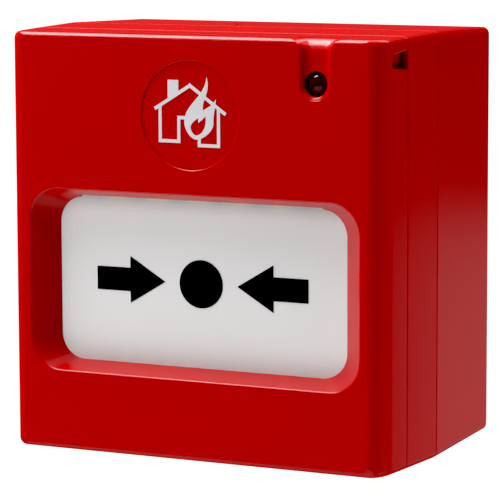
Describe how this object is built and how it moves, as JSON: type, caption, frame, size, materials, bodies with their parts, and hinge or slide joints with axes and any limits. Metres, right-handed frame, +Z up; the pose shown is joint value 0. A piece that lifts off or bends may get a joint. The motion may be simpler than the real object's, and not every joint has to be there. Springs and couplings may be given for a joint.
{
  "type": "manual call point",
  "caption": "Square surface-mounted manual fire alarm call point with a recessed resettable press element, status light and shallow back box.",
  "frame": {"origin": "centre of the flat face of the back box that lies on the wall", "axes": "+X to the viewer's right, +Y into the wall, +Z up"},
  "size_m": [0.091, 0.0595, 0.093],
  "materials": {
    "red_plastic": "satin moulded plastic with a fine grain",
    "white_print": "printed symbol",
    "dark_lens": "clear dark red lens",
    "white_plastic": "satin moulded plastic",
    "black_print": "printed symbol",
    "yellow_plastic": "moulded plastic with dark bars",
    "black_plastic": "moulded plastic",
    "plunger_plastic": "moulded plastic",
    "grey_plastic": "moulded plastic",
    "steel": "zinc plated steel",
    "brass": "tinned brass",
    "circuit_board": "green solder mask on glass-fibre laminate",
    "green_plastic": "moulded plastic",
    "resistor_body": "lacquered resistor body"
  },
  "bodies": {
    "housing": {"back_box": "red_plastic", "base_plate": "red_plastic", "mechanism_frame": "black_plastic", "element_hinge_pin": "steel", "element_spring": "steel", "switch_body": "black_plastic", "switch_terminal_1": "brass", "switch_terminal_2": "brass", "switch_terminal_3": "brass", "circuit_board": "circuit_board", "status_led": "dark_lens", "terminal_block": "green_plastic", "terminal_screw_1": "steel", "terminal_screw_2": "steel", "terminal_screw_3": "steel", "terminal_screw_4": "steel", "line_resistor": "resistor_body", "reset_spring": "steel", "test_cam_spring": "steel", "base_screw_left": "steel", "base_screw_right": "steel", "frame_screw_1": "steel", "frame_screw_2": "steel", "board_screw_1": "steel", "board_screw_2": "steel"},
    "cover": {"front_cover": "red_plastic", "pictogram_print": "white_print", "led_lens": "dark_lens"},
    "element": {"operating_element": "white_plastic", "print_dot": "black_print", "print_arrow_left": "black_print", "print_arrow_right": "black_print"},
    "flag": {"alarm_flag": "yellow_plastic"},
    "switch_lever": {"switch_lever": "steel"},
    "switch_plunger": {"switch_plunger": "plunger_plastic"},
    "reset_slider": {"reset_slider": "grey_plastic"},
    "test_cam": {"test_cam": "grey_plastic"},
    "cover_latch": {"cover_latch": "black_plastic"}
  },
  "joints": [
    {"name": "cover_open", "type": "hinge", "parent": "housing", "child": "cover", "pos_m": [0, -0.047, 0.0462], "axis": [-1, 0, 0], "range_deg": [0, 40]},
    {"name": "element_press", "type": "hinge", "parent": "housing", "child": "element", "pos_m": [0, -0.0531, -0.0315], "axis": [-1, 0, 0], "range_deg": [0, 5]},
    {"name": "flag_drop", "type": "slide", "parent": "housing", "child": "flag", "axis": [0, 0, -1], "range_m": [0, 0.006]},
    {"name": "switch_lever_swing", "type": "hinge", "parent": "housing", "child": "switch_lever", "pos_m": [0.0085, -0.0476, 0], "axis": [0, 0, -1], "range_deg": [0, 9.3]},
    {"name": "plunger_travel", "type": "slide", "parent": "housing", "child": "switch_plunger", "axis": [0, 1, 0], "range_m": [0, 0.0009]},
    {"name": "reset_slide", "type": "slide", "parent": "housing", "child": "reset_slider", "axis": [0, 0, 1], "range_m": [0, 0.003], "stiffness_N_per_m": 200, "deforming": ["reset_spring"]},
    {"name": "test_cam_turn", "type": "hinge", "parent": "housing", "child": "test_cam", "pos_m": [0, -0.0523, -0.0429], "axis": [0, 0, 1], "range_deg": [0, 90], "stiffness_Nm_per_rad": 0.004},
    {"name": "latch_flex", "type": "hinge", "parent": "housing", "child": "cover_latch", "pos_m": [0.016, -0.0365, -0.0406], "axis": [-1, 0, 0], "range_deg": [0, 6], "stiffness_Nm_per_rad": 0.15}
  ],
  "couplings": [
    {"joint": "flag_drop", "follows": "element_press", "m_per_rad": 0.0687},
    {"joint": "switch_lever_swing", "follows": "element_press", "ratio": 1.85},
    {"joint": "plunger_travel", "follows": "element_press", "m_per_rad": 0.00985}
  ]
}
